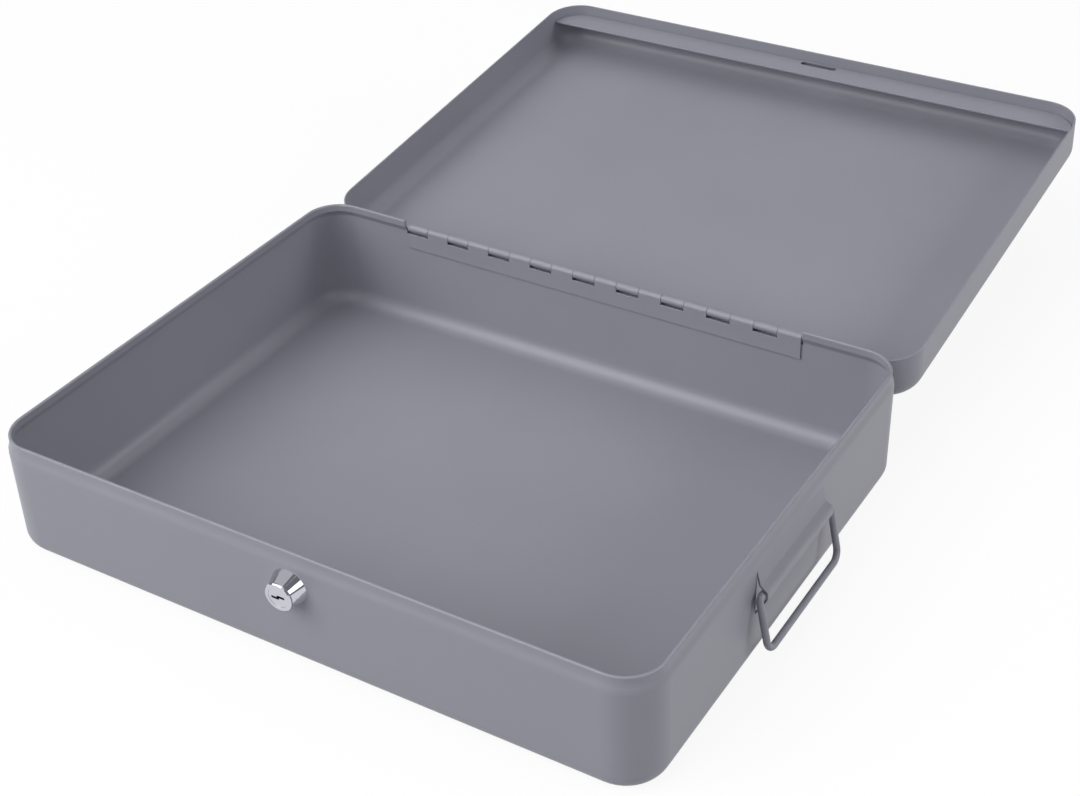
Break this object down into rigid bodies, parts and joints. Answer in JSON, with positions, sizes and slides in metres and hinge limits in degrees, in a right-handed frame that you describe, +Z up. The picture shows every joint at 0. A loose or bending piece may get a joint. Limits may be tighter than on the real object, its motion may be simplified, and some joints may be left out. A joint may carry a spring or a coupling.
{
  "type": "document box",
  "caption": "Shallow rounded sheet-metal document box with a lid on a long piano hinge thrown back, a wire carrying handle on one side and a cam lock in front.",
  "frame": {"origin": "middle of the tray's flat underside", "axes": "+Z up, +Y towards the hinge and the open lid, +X towards the side with the carrying handle"},
  "size_m": [0.387, 0.5866, 0.0889],
  "materials": {
    "grey_paint": "satin",
    "bare_steel": "satin",
    "lock_chrome": "polished",
    "wafer_brass": "satin"
  },
  "bodies": {
    "case": {"tray": "grey_paint", "tray_hinge_leaf": "grey_paint", "hinge_pin": "bare_steel", "lock_housing": "lock_chrome", "lock_washer": "bare_steel", "lock_nut": "lock_chrome"},
    "lid": {"lid": "grey_paint", "lid_hinge_leaf": "grey_paint", "lock_rail": "grey_paint"},
    "handle": {"carry_handle": "grey_paint"},
    "lock_core": {"lock_plug": "lock_chrome", "lock_wafers": "wafer_brass", "wafer_springs": "bare_steel", "lock_cam": "bare_steel", "cam_washer": "bare_steel", "cam_screw": "bare_steel"}
  },
  "joints": [
    {"name": "lid_hinge", "type": "hinge", "parent": "case", "child": "lid", "pos_m": [0, 0.14455, 0.0626], "axis": [-1, 0, 0], "range_deg": [-174.4, 0]},
    {"name": "handle_pivot", "type": "hinge", "parent": "case", "child": "handle", "pos_m": [0.1911, 0, 0.0432], "axis": [0, -1, 0], "range_deg": [-13, 170]},
    {"name": "lock_turn", "type": "hinge", "parent": "case", "child": "lock_core", "pos_m": [0, -0.144, 0.0484], "axis": [0, -1, 0], "range_deg": [0, 90]}
  ]
}
